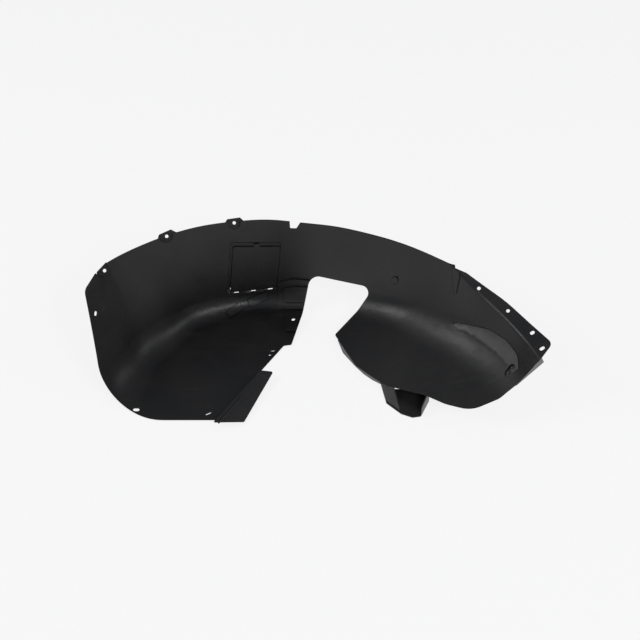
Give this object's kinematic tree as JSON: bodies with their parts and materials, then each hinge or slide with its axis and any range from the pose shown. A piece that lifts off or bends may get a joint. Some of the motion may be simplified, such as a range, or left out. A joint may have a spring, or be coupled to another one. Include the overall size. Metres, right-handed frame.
{
  "type": "splash shield",
  "caption": "Moulded wheel arch splash shield with a curved roof, side wall, strut opening, rim tabs, turned-out rear lip and a small hinged access cover.",
  "frame": {"origin": "under the middle of the part's bounding box, at the level of the side wall it lies on", "axes": "+X to the rear of the vehicle along the arch, +Y towards the crown of the arch, +Z outboard from the side wall to the rim"},
  "size_m": [0.8516, 0.381, 0.2001],
  "materials": {
    "shell_plastic": "satin black moulded",
    "cover_plastic": "satin black moulded"
  },
  "bodies": {
    "liner": {"liner_shell": "shell_plastic"},
    "cover": {"access_cover": "cover_plastic"}
  },
  "joints": [
    {"name": "cover_hinge", "type": "hinge", "parent": "liner", "child": "cover", "pos_m": [-0.12382, 0.1479, 0.04026], "axis": [0.9923, 0.1198, 0.0328], "range_deg": [0, 90]}
  ]
}
